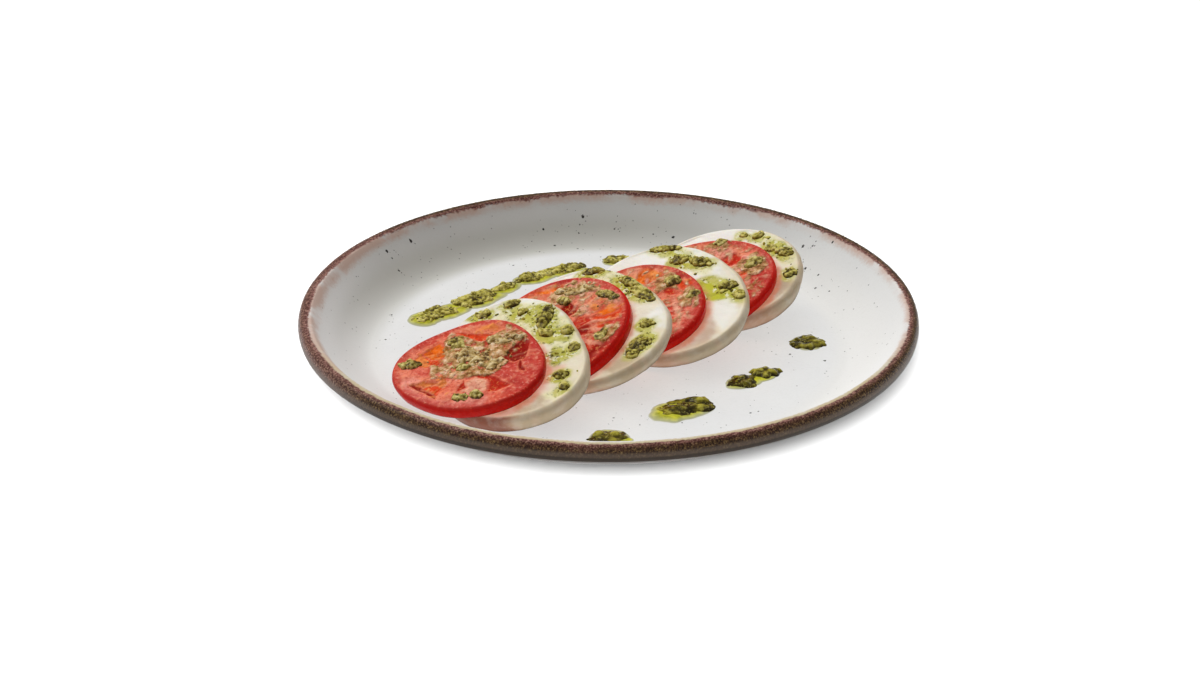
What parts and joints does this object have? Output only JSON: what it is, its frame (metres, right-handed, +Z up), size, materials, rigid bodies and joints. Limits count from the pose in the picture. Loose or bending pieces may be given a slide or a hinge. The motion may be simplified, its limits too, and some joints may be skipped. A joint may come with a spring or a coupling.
{
  "type": "caprese salad",
  "caption": "Caprese salad: a leaning row of overlapping tomato and mozzarella slices dressed with green pesto, served on a round speckled coupe plate with a brown rim.",
  "frame": {"origin": "middle of the plate's foot, on the table", "axes": "+Z up; the nearest point of the rim lies towards -Y, and the row of slices runs from the front left (-X, -Y) to the back right (+X, +Y), 40 degrees from +X"},
  "size_m": [0.28, 0.28, 0.0396],
  "materials": {
    "plate_glaze": "glossy grey-white glaze with dark speckles and a brown glazed rim",
    "tomato": "wet cut tomato flesh, paler at the core, with a glossy red skin",
    "mozzarella": "moist cream-white fresh cheese with a soft satin surface",
    "pesto": "coarse oily olive-green paste with yellow-green oil around it"
  },
  "bodies": {
    "root": {"plate": "plate_glaze", "tomato_1": "tomato", "mozzarella_1": "mozzarella", "tomato_2": "tomato", "mozzarella_2": "mozzarella", "tomato_3": "tomato", "mozzarella_3": "mozzarella", "tomato_4": "tomato", "mozzarella_4": "mozzarella", "pesto_trail_front": "pesto", "pesto_trail_back": "pesto", "pesto_dab": "pesto", "pesto_drop_1": "pesto", "pesto_drop_2": "pesto", "pesto_drop_3": "pesto", "pesto_drop_4": "pesto"}
  },
  "joints": []
}
